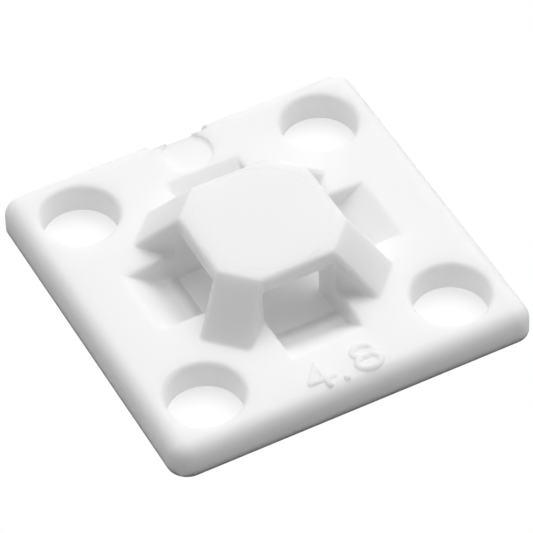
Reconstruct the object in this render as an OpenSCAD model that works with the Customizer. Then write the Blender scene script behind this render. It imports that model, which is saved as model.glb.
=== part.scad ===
// Four-way cable tie mount.
// One nylon moulding: a square base with four screw holes and, at its middle,
// an octagonal cap on four sloping legs. A cable tie passes under the cap from
// any of the four sides, along a channel that dips into the base.
//
// X and Y run along the sides of the base and +Z is up. The origin is at the
// middle of the underside. The moulding gate is at the middle of the +Y side.

/* [Base] */
// Side of the square base
base_side = 28; // [26:0.5:60]
// Thickness of the base
base_t = 2.3; // [2:0.1:3.5]
// Radius of the four upright corners of the base
corner_r = 1.5; // [1.4:0.1:3]
// Radius of the rounded top edge of the base
edge_r = 1.25; // [0.3:0.05:1.3]

/* [Screw holes] */
// Distance between the centres of neighbouring holes
hole_pitch = 19.2; // [18.6:0.1:19.6]
// Diameter of the screw holes
hole_d = 5.5; // [3:0.1:5.8]
// Radius of the rounded rim at the top of each hole
rim_r = 0.4; // [0.1:0.05:0.6]

/* [Cap and legs] */
// Height of the cap's top above the underside of the base
cap_h = 5.9; // [5.3:0.1:9]
// Thickness of the cap above the tie
cap_t = 1.3; // [1:0.1:1.6]
// Width of the cap across opposite long sides, at its top
cap_w = 10.4; // [9.8:0.1:11]
// Width of each leg, at its top
leg_w = 3.5; // [2.8:0.1:3.8]
// Distance from the middle to the foot of each leg
leg_reach = 9; // [8.2:0.1:9.8]
// Mould draft of the upright faces of the cap and legs, in degrees
draft = 2; // [0.5:0.25:3]
// Radius of the rounded top edges of the cap
cap_edge_r = 0.4; // [0.1:0.05:0.6]
// Radius of the rounded side edges of the legs
leg_edge_r = 0.35; // [0.1:0.05:0.6]

/* [Tie channels] */
// Width of the channels, a little more than the widest tie
channel_w = 5.6; // [4:0.1:6]
// Distance from the middle to the outer end of each ramp
ramp_reach = 9.5; // [8.9:0.05:10.5]
// Slope of the ramps, in degrees
ramp_angle = 36; // [33:0.5:45]
// Radius of the hollow curve at the foot of each ramp
ramp_r = 2; // [0.5:0.1:2.2]
// Height of the ramp's foot above the underside of the base
ramp_land = 0.15; // [0.1:0.05:0.5]

/* [Gate] */
// Width of the notch where the moulding gate was cut off
notch_w = 4.6; // [2:0.1:6]
// Depth of that notch, in from the side of the base
notch_depth = 0.95; // [0.3:0.05:1.2]
// Diameter of the shallow round pocket beside the notch
pocket_d = 3.6; // [2:0.05:4]
// Depth of that pocket
pocket_depth = 0.25; // [0.1:0.05:0.5]
// How far the pocket runs out over the floor of the notch
pocket_overlap = 0.3; // [0:0.05:0.6]

/* [Hidden] */
$fn = 96;

side_count = 4;          // sides, channels, legs and holes go round in fours
cut = 1;                 // how far a cutting shape passes the face that it opens

half_side = base_side / 2;
corner_at = half_side - corner_r;
hole_at = hole_pitch / 2;
hole_r = hole_d / 2;

cap_half = cap_w / 2;
spread = cap_h * tan(draft);               // what the draft adds from top to underside
cap_diagonal = cap_half * sqrt(2) - leg_w / 2;
leg_rise = cap_h - base_t;
leg_run = leg_reach - cap_diagonal;
leg_base = cap_diagonal + leg_run * cap_h / leg_rise;
leg_slope = atan(leg_rise / leg_run);
leg_edge_yaw = atan(sin(leg_slope) * tan(draft));   // the draft makes a leg wider downhill
leg_edge_lean = asin(cos(leg_slope) * sin(draft));  // and leans its sides, seen square to the slope

tie_gap_top = cap_h - cap_t;
opening_reach = cap_half + spread;         // the opening ends under the cap's edge
ramp_line_start = [ramp_reach - (base_t - ramp_land - ramp_r * (1 - cos(ramp_angle))) / tan(ramp_angle),
                   ramp_land + ramp_r * (1 - cos(ramp_angle))];
ramp_foot = ramp_line_start[0] - ramp_r * sin(ramp_angle);
ramp_exit = ramp_reach + (tie_gap_top - base_t) / tan(ramp_angle);

pocket_at = half_side - notch_depth + pocket_overlap - pocket_d / 2;

// Section of a corner of the base, from the middle of its curve out to the side
module corner_section() {
    square([corner_r, base_t - edge_r]);
    square([corner_r - edge_r, base_t]);
    translate([corner_r - edge_r, base_t - edge_r]) intersection() {
        circle(edge_r);
        square(edge_r);
    }
}

// Upright section that is narrower at the top, with its two top corners rounded
module tapered_section(top_half, bottom_half, height, r) {
    slope = atan2(height, bottom_half - top_half);
    setback = r * tan(slope / 2);
    shoulder = [top_half - setback, height];
    flank = [top_half + setback * cos(slope), height - setback * sin(slope)];
    polygon([[-bottom_half, 0], [bottom_half, 0], flank, shoulder,
             [-shoulder[0], shoulder[1]], [-flank[0], flank[1]]]);
    for (s = [-1, 1]) translate([s * shoulder[0], height - r]) intersection() {
        circle(r);
        translate([-r, 0]) square([2 * r, r]);
    }
}

// The section above, run along X and centred on it
module tapered_bar(length, top_half, bottom_half, height, r) {
    rotate([90, 0, 90]) translate([0, 0, -length / 2])
        linear_extrude(length) tapered_section(top_half, bottom_half, height, r);
}

// Square slab with round corners and a round top edge
module base_slab() {
    for (a = [0, 90]) rotate(a)
        tapered_bar(2 * corner_at, half_side, half_side, base_t, edge_r);
    for (i = [0 : side_count - 1]) rotate(i * 90)
        translate([corner_at, corner_at, 0]) rotate_extrude() corner_section();
}

// Outline of two opposite legs, seen from their side
module leg_slopes() {
    rotate(90) tapered_bar(4 * leg_base, cap_diagonal, leg_base, cap_h, cap_edge_r);
}

// Octagonal cap, run down to the underside of the base
module cap_block() {
    intersection() {
        tapered_bar(base_side, cap_half, cap_half + spread, cap_h, cap_edge_r);
        rotate(90) tapered_bar(base_side, cap_half, cap_half + spread, cap_h, cap_edge_r);
        rotate(45) leg_slopes();
        rotate(135) leg_slopes();
    }
}

// Cutter that rounds one of the two side edges of a leg
module leg_edge_cut() {
    corner = 90 - leg_edge_lean;
    setback = leg_edge_r * tan(corner / 2);
    on_flank = [setback * cos(corner), -setback * sin(corner)];
    translate([cap_diagonal, leg_w / 2, cap_h]) rotate([0, leg_slope, 0]) rotate(leg_edge_yaw)
        rotate([90, 0, 90]) translate([0, 0, -cut]) linear_extrude(leg_base) difference() {
            polygon([[-setback, 0], on_flank, on_flank + [cut, 0], [cut, cut], [-setback, cut]]);
            translate([-setback, -leg_edge_r]) circle(leg_edge_r);
        }
}

// Two opposite legs, in one with the middle of the cap
module leg_pair() {
    difference() {
        intersection() {
            tapered_bar(4 * leg_base, leg_w / 2, leg_w / 2 + spread, cap_h, cap_edge_r);
            leg_slopes();
        }
        for (turn = [0, 180], side = [0, 1])
            rotate(turn) mirror([0, side, 0]) leg_edge_cut();
    }
}

// Section of a channel from the middle out: a tunnel that is open to the
// underside, then the space above a ramp that is hollow at its foot
module channel_section() {
    translate([0, -cut]) square([opening_reach, tie_gap_top + cut]);
    translate([0, ramp_land]) square([ramp_foot, tie_gap_top - ramp_land]);
    translate([ramp_foot, ramp_land + ramp_r]) circle(ramp_r);
    polygon([[ramp_foot, tie_gap_top], [ramp_foot, ramp_land + ramp_r],
             ramp_line_start, [ramp_exit, tie_gap_top]]);
}

// One channel for the tie, from the middle out along X
module channel() {
    translate([0, channel_w / 2, 0]) rotate([90, 0, 0])
        linear_extrude(channel_w) channel_section();
}

// Screw hole with a rounded top rim
module screw_hole() {
    translate([0, 0, -cut]) cylinder(h = base_t + 2 * cut, r = hole_r);
    rotate_extrude() translate([hole_r, base_t - rim_r]) difference() {
        square(rim_r);
        translate([rim_r, 0]) circle(rim_r);
    }
}

// Notch and shallow round pocket left at the gate
module gate_recess() {
    translate([-notch_w / 2, half_side - notch_depth, -cut])
        cube([notch_w, notch_depth + cut, base_t + 2 * cut]);
    translate([0, pocket_at, base_t - pocket_depth])
        cylinder(h = pocket_depth + cut, r = pocket_d / 2);
}

module tie_mount() {
    color([0.95, 0.955, 0.95]) difference() {
        union() {
            base_slab();
            cap_block();
            rotate(45) leg_pair();
            rotate(135) leg_pair();
        }
        for (i = [0 : side_count - 1]) rotate(i * 90) {
            channel();
            translate([hole_at, hole_at, 0]) screw_hole();
        }
        gate_recess();
    }
}

tie_mount();
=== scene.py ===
"""Looks of a four-way cable tie mount: one moulding of natural white nylon."""
import math

import bmesh
import bpy
from mathutils import Matrix, Vector


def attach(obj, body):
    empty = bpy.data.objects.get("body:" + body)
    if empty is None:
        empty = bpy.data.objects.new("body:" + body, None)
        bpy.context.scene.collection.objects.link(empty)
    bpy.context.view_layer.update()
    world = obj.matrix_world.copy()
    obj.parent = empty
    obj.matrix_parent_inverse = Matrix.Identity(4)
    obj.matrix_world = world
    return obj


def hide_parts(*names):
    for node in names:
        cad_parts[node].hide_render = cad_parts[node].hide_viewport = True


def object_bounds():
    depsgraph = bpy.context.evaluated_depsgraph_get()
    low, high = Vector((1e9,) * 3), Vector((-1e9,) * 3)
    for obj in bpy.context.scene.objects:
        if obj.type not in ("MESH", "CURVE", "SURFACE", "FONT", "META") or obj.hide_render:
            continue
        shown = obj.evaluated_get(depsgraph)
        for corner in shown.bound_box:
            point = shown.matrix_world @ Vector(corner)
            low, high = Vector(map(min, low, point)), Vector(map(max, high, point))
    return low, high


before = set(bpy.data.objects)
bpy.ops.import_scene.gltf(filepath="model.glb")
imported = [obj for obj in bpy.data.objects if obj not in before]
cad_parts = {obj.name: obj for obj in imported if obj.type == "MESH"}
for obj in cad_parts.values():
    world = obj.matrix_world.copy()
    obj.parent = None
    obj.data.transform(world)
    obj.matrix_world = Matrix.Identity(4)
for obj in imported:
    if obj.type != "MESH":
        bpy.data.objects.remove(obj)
cad_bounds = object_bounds()
scene = bpy.context.scene
scene.view_settings.view_transform = "Standard"


# The camera looks down on one corner of the base through a long lens, which keeps the
# sides of the square nearly parallel.
MM = 0.001
VIEW_AZIMUTH = math.radians(-26.91)
VIEW_ELEVATION = math.radians(46.87)
VIEW_ROLL = math.radians(-1.43)
VIEW_DISTANCE = 298.5 * MM
LENS = 288.7
view_target = Vector((-0.26, -0.92, 2.02)) * MM

back = Vector((
    math.sin(VIEW_AZIMUTH) * math.cos(VIEW_ELEVATION),
    -math.cos(VIEW_AZIMUTH) * math.cos(VIEW_ELEVATION),
    math.sin(VIEW_ELEVATION),
))
level_right = Vector((math.cos(VIEW_AZIMUTH), math.sin(VIEW_AZIMUTH), 0))
level_up = back.cross(level_right)
view_right = level_right * math.cos(VIEW_ROLL) + level_up * math.sin(VIEW_ROLL)
view_up = back.cross(view_right)
turn = Matrix((view_right, view_up, back)).transposed().to_4x4()

camera_data = bpy.data.cameras.new("camera")
camera_data.sensor_width = 36
camera_data.lens = LENS
camera_data.clip_start = 0.01
camera_data.clip_end = 10
camera = bpy.data.objects.new("camera", camera_data)
camera.matrix_world = Matrix.Translation(view_target + back * VIEW_DISTANCE) @ turn
scene.collection.objects.link(camera)
scene.camera = camera


# The studio is a white tent, lit softly from behind the mount and from above, and hardly
# at all from the camera's side. Each light is (azimuth from +X towards +Y, elevation,
# sharpness, strength), and fades smoothly away from its middle.
TENT_LIGHTS = (
    (15, 59, 13, 4.9),
    (60, 62, 13, 1.5),
    (105, 57, 13, 3.1),
)

world = bpy.data.worlds.new("studio")
world.use_nodes = True
scene.world = world
tree = world.node_tree
tree.nodes.clear()
view_direction = tree.nodes.new("ShaderNodeTexCoord").outputs["Generated"]


def work_out(operation, first, second=0.0):
    """A maths node in the tree at hand; each input is a number or another node's output."""
    node = tree.nodes.new("ShaderNodeMath")
    node.operation = operation
    for socket, value in zip(node.inputs, (first, second)):
        if isinstance(value, (int, float)):
            socket.default_value = value
        else:
            tree.links.new(value, socket)
    return node.outputs["Value"]


def seen_directly():
    """1 for the rays that show the backdrop: from the camera, a reflection or clear material."""
    path = tree.nodes.new("ShaderNodeLightPath").outputs
    seen = work_out("MAXIMUM", path["Is Camera Ray"], path["Is Glossy Ray"])
    return work_out("MAXIMUM", seen, path["Is Transmission Ray"])


light = 0.0
for azimuth, elevation, sharpness, strength in TENT_LIGHTS:
    towards = tree.nodes.new("ShaderNodeVectorMath")
    towards.operation = "DOT_PRODUCT"
    flat = math.cos(math.radians(elevation))
    towards.inputs[1].default_value = (
        flat * math.cos(math.radians(azimuth)),
        flat * math.sin(math.radians(azimuth)),
        math.sin(math.radians(elevation)),
    )
    tree.links.new(view_direction, towards.inputs[0])
    away = work_out("SUBTRACT", towards.outputs["Value"], 1.0)
    falloff = work_out("EXPONENT", work_out("MULTIPLY", away, sharpness))
    light = work_out("ADD", work_out("MULTIPLY", falloff, strength), light)

lit = tree.nodes.new("ShaderNodeBackground")
tree.links.new(light, lit.inputs["Strength"])
white = tree.nodes.new("ShaderNodeBackground")
white.inputs["Color"].default_value = (1, 1, 1, 1)
white.inputs["Strength"].default_value = 1
choose = tree.nodes.new("ShaderNodeMixShader")
tree.links.new(seen_directly(), choose.inputs["Fac"])
tree.links.new(lit.outputs["Background"], choose.inputs[1])
tree.links.new(white.outputs["Background"], choose.inputs[2])
output = tree.nodes.new("ShaderNodeOutputWorld")
tree.links.new(choose.outputs["Shader"], output.inputs["Surface"])


# The floor is a white table that glows just where the mount lies: painted light that
# lights the screw holes from below, turned down under the cap as painted shade. The table
# beside the mount is seen as plain white.
FLOOR_SIDE = 2.0
FLOOR_WHITE = 0.7
GLOW_INSET = 0.5 * MM
GLOW = 0.28
HOLE_WHITE = 0.5
GLOW_UNDER_CAP = 0.15
CAP_SHADE_INSIDE = 5.5 * MM
CAP_SHADE_OUTSIDE = 6.5 * MM

glow_half_side = cad_bounds[1][0] - GLOW_INSET

bpy.ops.mesh.primitive_plane_add(size=FLOOR_SIDE)
floor = bpy.context.object
floor.name = "floor"
table = bpy.data.materials.new("table")
table.use_nodes = True
tree = table.node_tree
tree.nodes.clear()

spot = tree.nodes.new("ShaderNodeSeparateXYZ")
tree.links.new(tree.nodes.new("ShaderNodeTexCoord").outputs["Object"], spot.inputs["Vector"])
from_middle = work_out(
    "MAXIMUM", work_out("ABSOLUTE", spot.outputs["X"]), work_out("ABSOLUTE", spot.outputs["Y"]))
under_mount = work_out("LESS_THAN", from_middle, glow_half_side)


def outwards(under_cap, beside_cap):
    """A value that passes smoothly from one number to the other at the cap's edge."""
    fade = tree.nodes.new("ShaderNodeMapRange")
    fade.interpolation_type = "SMOOTHSTEP"
    fade.inputs["From Min"].default_value = CAP_SHADE_INSIDE
    fade.inputs["From Max"].default_value = CAP_SHADE_OUTSIDE
    fade.inputs["To Min"].default_value = under_cap
    fade.inputs["To Max"].default_value = beside_cap
    tree.links.new(from_middle, fade.inputs["Value"])
    return fade.outputs["Result"]


matt = tree.nodes.new("ShaderNodeBsdfDiffuse")
matt.inputs["Color"].default_value = (FLOOR_WHITE, FLOOR_WHITE, FLOOR_WHITE, 1)
# The floor's glow is painted light, and its lower strength under the cap is painted shade.
painted_glow = tree.nodes.new("ShaderNodeEmission")
glow = work_out("MULTIPLY", under_mount, outwards(GLOW_UNDER_CAP, GLOW))
tree.links.new(glow, painted_glow.inputs["Strength"])
lit_table = tree.nodes.new("ShaderNodeAddShader")
tree.links.new(matt.outputs["BSDF"], lit_table.inputs[0])
tree.links.new(painted_glow.outputs["Emission"], lit_table.inputs[1])

beside_mount = work_out("SUBTRACT", 1, under_mount)
white_share = work_out("MAXIMUM", beside_mount, outwards(0, HOLE_WHITE))
backdrop = tree.nodes.new("ShaderNodeEmission")
backdrop.inputs["Strength"].default_value = 1
choose = tree.nodes.new("ShaderNodeMixShader")
tree.links.new(work_out("MULTIPLY", seen_directly(), white_share), choose.inputs["Fac"])
tree.links.new(lit_table.outputs["Shader"], choose.inputs[1])
tree.links.new(backdrop.outputs["Emission"], choose.inputs[2])
output = tree.nodes.new("ShaderNodeOutputMaterial")
tree.links.new(choose.outputs["Shader"], output.inputs["Surface"])
floor.data.materials.append(table)


# The moulding is one piece of natural nylon 6/6. Its edges are softened, because molten
# nylon doesn't fill sharp corners: fully on the plate's top, less by the gate, and not on
# the thin lips at the inner ends of the channels, which a wide rounding would eat through.
EDGE_WIDTH = 0.3 * MM
EDGE_STEPS = 4
CORNER_SHARE = 0.5
GATE_FROM = 9.4 * MM
GATE_SHARE = 0.2
LIP_TOP = 0.16 * MM
MERGE_WITHIN = 0.0001 * MM
FLAT_WITHIN = math.radians(1)
SHARP_FROM = math.radians(30)
LEVEL_WITHIN = 0.02 * MM
PLATE_TOP = 2.3 * MM
CAP_EDGE_FOOT = 5.2 * MM

cad_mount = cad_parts["tie_mount"]
moulding = bpy.data.objects.new("moulding", bpy.data.meshes.new("moulding"))
scene.collection.objects.link(moulding)

shape = bmesh.new()
shape.from_mesh(cad_mount.data)
bmesh.ops.remove_doubles(shape, verts=shape.verts, dist=MERGE_WITHIN)
bmesh.ops.dissolve_limit(shape, angle_limit=FLAT_WITHIN, verts=shape.verts, edges=shape.edges)
softness = shape.edges.layers.float.new("bevel_weight_edge")
for edge in shape.edges:
    bend = edge.calc_face_angle_signed(0)
    heights = [corner.co.z for corner in edge.verts]
    if abs(bend) < SHARP_FROM or max(heights) < LIP_TOP or max(heights) > CAP_EDGE_FOOT:
        continue
    on_plate = bend > 0 and max(abs(height - PLATE_TOP) for height in heights) < LEVEL_WITHIN
    if min(corner.co.y for corner in edge.verts) > GATE_FROM:
        edge[softness] = GATE_SHARE
    else:
        edge[softness] = 1 if on_plate else CORNER_SHARE
shape.to_mesh(moulding.data)
shape.free()

edges = moulding.modifiers.new("soft edges", "BEVEL")
edges.limit_method = "WEIGHT"
edges.offset_type = "OFFSET"
edges.width = EDGE_WIDTH
edges.segments = EDGE_STEPS
edges.profile = 0.5
edges.use_clamp_overlap = False


# Raised figures near the -Y side give the widest tie that fits, in millimetres. The tool's
# engraved strokes are half round, so the figures stand up as low round ridges.
STROKE_RADIUS = 0.27 * MM
STROKE_SINK = 0.04 * MM
FIGURE_WIDTH = 1.75 * MM
FIGURE_HEIGHT = 2.1 * MM
FIGURE_BASE = -12.95 * MM
FOUR_LEFT = -2.9 * MM
EIGHT_LEFT = 0.75 * MM
FOUR_STROKES = (((0.66, 1), (0, 0.3)), ((0, 0.3), (1, 0.3)), ((0.66, 1), (0.66, 0)))
EIGHT_LOOPS = ((0.765, 0.42, 0.245, 48), (0.275, 0.5, 0.275, 50))
POINT_X = -0.41 * MM

shape = bmesh.new()


def figure_place(left, across, up):
    """A point given as shares of a figure's width and height, on a stroke's centre line."""
    return Vector((left + across * FIGURE_WIDTH, FIGURE_BASE + up * FIGURE_HEIGHT, PLATE_TOP - STROKE_SINK))


def add_stroke(start, end):
    """A straight ridge with round ends: a sphere whose far half is drawn out."""
    run = end - start
    turn_to_run = Vector((0, 0, 1)).rotation_difference(run).to_matrix().to_4x4()
    ball = bmesh.ops.create_uvsphere(shape, u_segments=20, v_segments=12, radius=STROKE_RADIUS)["verts"]
    far_half = [corner for corner in ball if corner.co.z > 0.01 * STROKE_RADIUS]
    bmesh.ops.translate(shape, verts=far_half, vec=(0, 0, run.length))
    bmesh.ops.transform(shape, verts=ball, matrix=Matrix.Translation(start) @ turn_to_run)


def add_loop(middle, half_width, half_height, steps):
    """A ridge round an ellipse, for a bowl of the eight."""
    ring = bmesh.ops.create_circle(
        shape, segments=14, radius=STROKE_RADIUS,
        matrix=Matrix.Translation((FIGURE_WIDTH * half_width, 0, 0)) @ Matrix.Rotation(math.pi / 2, 4, "X"))
    section = ring["verts"]
    before = set(shape.verts) - set(section)
    rim = list({edge for corner in section for edge in corner.link_edges})
    bmesh.ops.spin(
        shape, geom=section + rim, cent=(0, 0, 0), axis=(0, 0, 1),
        angle=2 * math.pi, steps=steps, use_merge=True)
    loop = [corner for corner in shape.verts if corner not in before]
    stretch = half_height * FIGURE_HEIGHT / (half_width * FIGURE_WIDTH)
    for corner in loop:
        radius = math.hypot(corner.co.x, corner.co.y)
        centre_y = corner.co.y / radius * half_width * FIGURE_WIDTH
        corner.co.y += centre_y * (stretch - 1)
    bmesh.ops.translate(shape, verts=loop, vec=figure_place(EIGHT_LEFT, 0.5, middle))


for start, end in FOUR_STROKES:
    add_stroke(figure_place(FOUR_LEFT, *start), figure_place(FOUR_LEFT, *end))
for middle, half_width, half_height, steps in EIGHT_LOOPS:
    add_loop(middle, half_width, half_height, steps)
bmesh.ops.create_uvsphere(
    shape, u_segments=24, v_segments=12, radius=STROKE_RADIUS,
    matrix=Matrix.Translation(figure_place(POINT_X, 0, 0)))
bmesh.ops.recalc_face_normals(shape, faces=shape.faces)
figure_mesh = bpy.data.meshes.new("figures")
shape.to_mesh(figure_mesh)
shape.free()
figures = bpy.data.objects.new("figures", figure_mesh)
scene.collection.objects.link(figures)


# A round ejector pin, flush with the top of the cap, leaves a fine line round its edge. The
# line is cut and the figures are joined on, and all but true creases is shaded smooth.
PIN_RADIUS = 4.87 * MM
LINE_RADIUS = 0.05 * MM
cap_top = cad_bounds[1][2]
LINE_RISE = 0.02 * MM
CREASE_FROM = math.radians(40)

shape = bmesh.new()
bmesh.ops.create_circle(
    shape, segments=8, radius=LINE_RADIUS,
    matrix=Matrix.Translation((PIN_RADIUS, 0, cap_top + LINE_RISE)) @ Matrix.Rotation(math.pi / 2, 4, "X"))
bmesh.ops.spin(
    shape, geom=shape.verts[:] + shape.edges[:], cent=(0, 0, 0), axis=(0, 0, 1),
    angle=2 * math.pi, steps=96, use_merge=True)
bmesh.ops.remove_doubles(shape, verts=shape.verts, dist=MERGE_WITHIN)
bmesh.ops.recalc_face_normals(shape, faces=shape.faces)
line_mesh = bpy.data.meshes.new("pin line")
shape.to_mesh(line_mesh)
shape.free()
pin_line = bpy.data.objects.new("pin line", line_mesh)
scene.collection.objects.link(pin_line)

for tool, operation in ((figures, "UNION"), (pin_line, "DIFFERENCE")):
    joining = moulding.modifiers.new(tool.name, "BOOLEAN")
    joining.object = tool
    joining.operation = operation
    joining.solver = "EXACT"
    joining.use_self = tool == figures
moulded = bpy.data.meshes.new_from_object(
    moulding.evaluated_get(bpy.context.evaluated_depsgraph_get()))
moulding.modifiers.clear()
moulding.data = moulded
bpy.data.objects.remove(figures)
bpy.data.objects.remove(pin_line)
shape = bmesh.new()
shape.from_mesh(moulding.data)
for face in shape.faces:
    face.smooth = True
for edge in shape.edges:
    edge.smooth = edge.calc_face_angle(0) < CREASE_FROM
shape.to_mesh(moulding.data)
shape.free()
shading = moulding.modifiers.new("shading", "WEIGHTED_NORMAL")
shading.mode = "FACE_AREA"
shading.keep_sharp = True


# The material is milky natural nylon: light goes a few millimetres into it and comes out
# again. The tool's fine spark finish gives it a satin grain, and it has faint cloudy marks
# where the melt flowed.
NYLON_CLEAR = (0.955, 0.957, 0.955, 1)
NYLON_MILKY = (0.98, 0.98, 0.978, 1)
CLOUD_SIZE = 5 * MM
GRAIN_SIZE = 0.16 * MM
WAVE_SIZE = 3 * MM
WAVE_DEPTH = 0.03 * MM
GRAIN_DEPTH = 0.006 * MM
SATIN_FROM = 0.42
SATIN_TO = 0.58
REFRACTION = 1.53
LIGHT_REACH = 1.7 * MM

nylon = bpy.data.materials.new("natural nylon")
nylon.use_nodes = True
nodes = nylon.node_tree.nodes
links = nylon.node_tree.links
bsdf = nodes["Principled BSDF"]
place = nodes.new("ShaderNodeTexCoord").outputs["Object"]


def add_noise(size, detail, roughness):
    """Noise over the piece, with features of the given size in metres."""
    noise = nodes.new("ShaderNodeTexNoise")
    noise.inputs["Scale"].default_value = 1 / size
    noise.inputs["Detail"].default_value = detail
    noise.inputs["Roughness"].default_value = roughness
    links.new(place, noise.inputs["Vector"])
    return noise.outputs["Fac"]


clouds = add_noise(CLOUD_SIZE, 3, 0.55)
grain = add_noise(GRAIN_SIZE, 2, 0.6)
waves = add_noise(WAVE_SIZE, 1, 0.4)

milk = nodes.new("ShaderNodeMix")
milk.data_type = "RGBA"
milk.inputs["A"].default_value = NYLON_CLEAR
milk.inputs["B"].default_value = NYLON_MILKY
links.new(clouds, milk.inputs["Factor"])
links.new(milk.outputs["Result"], bsdf.inputs["Base Color"])

satin = nodes.new("ShaderNodeMapRange")
satin.inputs["To Min"].default_value = SATIN_FROM
satin.inputs["To Max"].default_value = SATIN_TO
links.new(grain, satin.inputs["Value"])
links.new(satin.outputs["Result"], bsdf.inputs["Roughness"])

dents = nodes.new("ShaderNodeBump")
dents.inputs["Strength"].default_value = 0.5
dents.inputs["Distance"].default_value = WAVE_DEPTH
links.new(waves, dents.inputs["Height"])
texture = nodes.new("ShaderNodeBump")
texture.inputs["Strength"].default_value = 0.35
texture.inputs["Distance"].default_value = GRAIN_DEPTH
links.new(grain, texture.inputs["Height"])
links.new(dents.outputs["Normal"], texture.inputs["Normal"])
links.new(texture.outputs["Normal"], bsdf.inputs["Normal"])

bsdf.inputs["IOR"].default_value = REFRACTION
bsdf.inputs["Specular IOR Level"].default_value = 0.25
bsdf.inputs["Subsurface Weight"].default_value = 1
bsdf.inputs["Subsurface Radius"].default_value = (1, 1, 1)
bsdf.inputs["Subsurface Scale"].default_value = LIGHT_REACH
bsdf.inputs["Sheen Weight"].default_value = 0.03
bsdf.inputs["Sheen Roughness"].default_value = 0.4
moulding.data.materials.clear()
moulding.data.materials.append(nylon)
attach(moulding, "root")
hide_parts("tie_mount")
